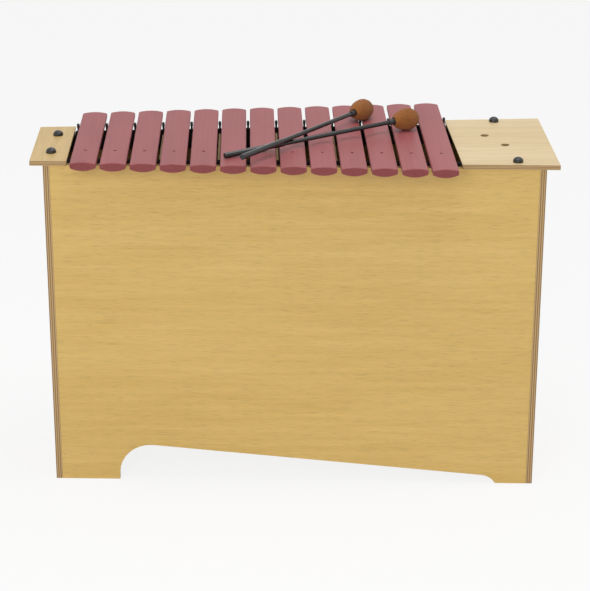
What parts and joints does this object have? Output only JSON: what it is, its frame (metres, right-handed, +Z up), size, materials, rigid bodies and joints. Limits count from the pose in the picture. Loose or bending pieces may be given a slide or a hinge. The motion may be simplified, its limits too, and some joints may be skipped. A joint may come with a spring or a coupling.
{
  "type": "bass xylophone",
  "caption": "Bass xylophone: a row of graduated rose bars over a tall tapered plywood resonator box, with end shelves, guide posts and wound mallets lying across the bars.",
  "frame": {"origin": "on the floor, under the middle of the instrument's bounding box", "axes": "+X towards the long bass bars, +Y towards the player's side, +Z up"},
  "size_m": [0.988, 0.444, 0.716],
  "materials": {
    "birch": "satin varnish on honey-coloured birch plywood",
    "pale_birch": "satin varnish on pale birch plywood",
    "inner_ply": "bare plywood and glue battens",
    "black_rail": "black painted wood, with steel pins in the front one",
    "felt": "dense black felt",
    "post": "black rubber-capped post",
    "bumper": "smooth black rubber dome",
    "bar": "satin rose glass-fibre plastic, lightly streaked lengthwise",
    "mallet_shaft": "glossy black glass-fibre rod",
    "mallet_grip": "smooth shiny black rubber sleeve",
    "mallet_core": "dark grey moulded rubber",
    "yarn": "wound orange-tan wool"
  },
  "bodies": {
    "base": {"front_panel": "birch", "back_panel": "birch", "treble_end_panel": "birch", "bass_end_panel": "birch", "resonator_floor": "inner_ply", "partition_1": "inner_ply", "partition_2": "inner_ply", "partition_3": "inner_ply", "partition_4": "inner_ply", "partition_5": "inner_ply", "treble_front_batten": "inner_ply", "treble_back_batten": "inner_ply", "bass_front_batten": "inner_ply", "bass_back_batten": "inner_ply", "front_rail": "black_rail", "back_rail": "black_rail", "front_felt_strip": "felt", "back_felt_strip": "felt", "back_post_01": "post", "back_post_02": "post", "back_post_03": "post", "back_post_04": "post", "back_post_05": "post", "back_post_06": "post", "back_post_07": "post", "back_post_08": "post", "back_post_09": "post", "back_post_10": "post", "back_post_11": "post", "back_post_12": "post", "back_post_13": "post", "back_post_14": "post", "treble_shelf": "pale_birch", "bass_shelf": "pale_birch", "treble_back_bumper": "bumper", "treble_front_bumper": "bumper", "bass_back_bumper": "bumper", "bass_front_bumper": "bumper"},
    "bar_01": {"bar_01": "bar"},
    "bar_02": {"bar_02": "bar"},
    "bar_03": {"bar_03": "bar"},
    "bar_04": {"bar_04": "bar"},
    "bar_05": {"bar_05": "bar"},
    "bar_06": {"bar_06": "bar"},
    "bar_07": {"bar_07": "bar"},
    "bar_08": {"bar_08": "bar"},
    "bar_09": {"bar_09": "bar"},
    "bar_10": {"bar_10": "bar"},
    "bar_11": {"bar_11": "bar"},
    "bar_12": {"bar_12": "bar"},
    "bar_13": {"bar_13": "bar"},
    "lower_mallet": {"lower_mallet_shaft": "mallet_shaft", "lower_mallet_grip": "mallet_grip", "lower_mallet_core": "mallet_core", "lower_mallet_yarn": "yarn"},
    "upper_mallet": {"upper_mallet_shaft": "mallet_shaft", "upper_mallet_grip": "mallet_grip", "upper_mallet_core": "mallet_core", "upper_mallet_yarn": "yarn"}
  },
  "joints": [
    {"name": "bar_01_lift", "type": "slide", "parent": "base", "child": "bar_01", "axis": [0, 0, 1], "range_m": [0, 0.06]},
    {"name": "bar_02_lift", "type": "slide", "parent": "base", "child": "bar_02", "axis": [0, 0, 1], "range_m": [0, 0.06]},
    {"name": "bar_03_lift", "type": "slide", "parent": "base", "child": "bar_03", "axis": [0, 0, 1], "range_m": [0, 0.06]},
    {"name": "bar_04_lift", "type": "slide", "parent": "base", "child": "bar_04", "axis": [0, 0, 1], "range_m": [0, 0.06]},
    {"name": "bar_05_lift", "type": "slide", "parent": "base", "child": "bar_05", "axis": [0, 0, 1], "range_m": [0, 0.06]},
    {"name": "bar_06_lift", "type": "slide", "parent": "base", "child": "bar_06", "axis": [0, 0, 1], "range_m": [0, 0.06]},
    {"name": "bar_07_lift", "type": "slide", "parent": "base", "child": "bar_07", "axis": [0, 0, 1], "range_m": [0, 0.06]},
    {"name": "bar_08_lift", "type": "slide", "parent": "base", "child": "bar_08", "axis": [0, 0, 1], "range_m": [0, 0.06]},
    {"name": "bar_09_lift", "type": "slide", "parent": "base", "child": "bar_09", "axis": [0, 0, 1], "range_m": [0, 0.06]},
    {"name": "bar_10_lift", "type": "slide", "parent": "base", "child": "bar_10", "axis": [0, 0, 1], "range_m": [0, 0.06]},
    {"name": "bar_11_lift", "type": "slide", "parent": "base", "child": "bar_11", "axis": [0, 0, 1], "range_m": [0, 0.06]},
    {"name": "bar_12_lift", "type": "slide", "parent": "base", "child": "bar_12", "axis": [0, 0, 1], "range_m": [0, 0.06]},
    {"name": "bar_13_lift", "type": "slide", "parent": "base", "child": "bar_13", "axis": [0, 0, 1], "range_m": [0, 0.06]},
    {"name": "lower_mallet_lift", "type": "slide", "parent": "bar_09", "child": "lower_mallet", "axis": [0, 0, 1], "range_m": [0, 0.1]},
    {"name": "upper_mallet_lift", "type": "slide", "parent": "lower_mallet", "child": "upper_mallet", "axis": [0, 0, 1], "range_m": [0, 0.1]}
  ],
  "couplings": [
    {"joint": "bar_06_lift", "follows": "bar_09_lift", "ratio": 1},
    {"joint": "bar_07_lift", "follows": "bar_09_lift", "ratio": 1},
    {"joint": "bar_08_lift", "follows": "bar_09_lift", "ratio": 1},
    {"joint": "bar_10_lift", "follows": "bar_09_lift", "ratio": 1},
    {"joint": "bar_11_lift", "follows": "bar_09_lift", "ratio": 1},
    {"joint": "bar_12_lift", "follows": "bar_09_lift", "ratio": 1}
  ]
}
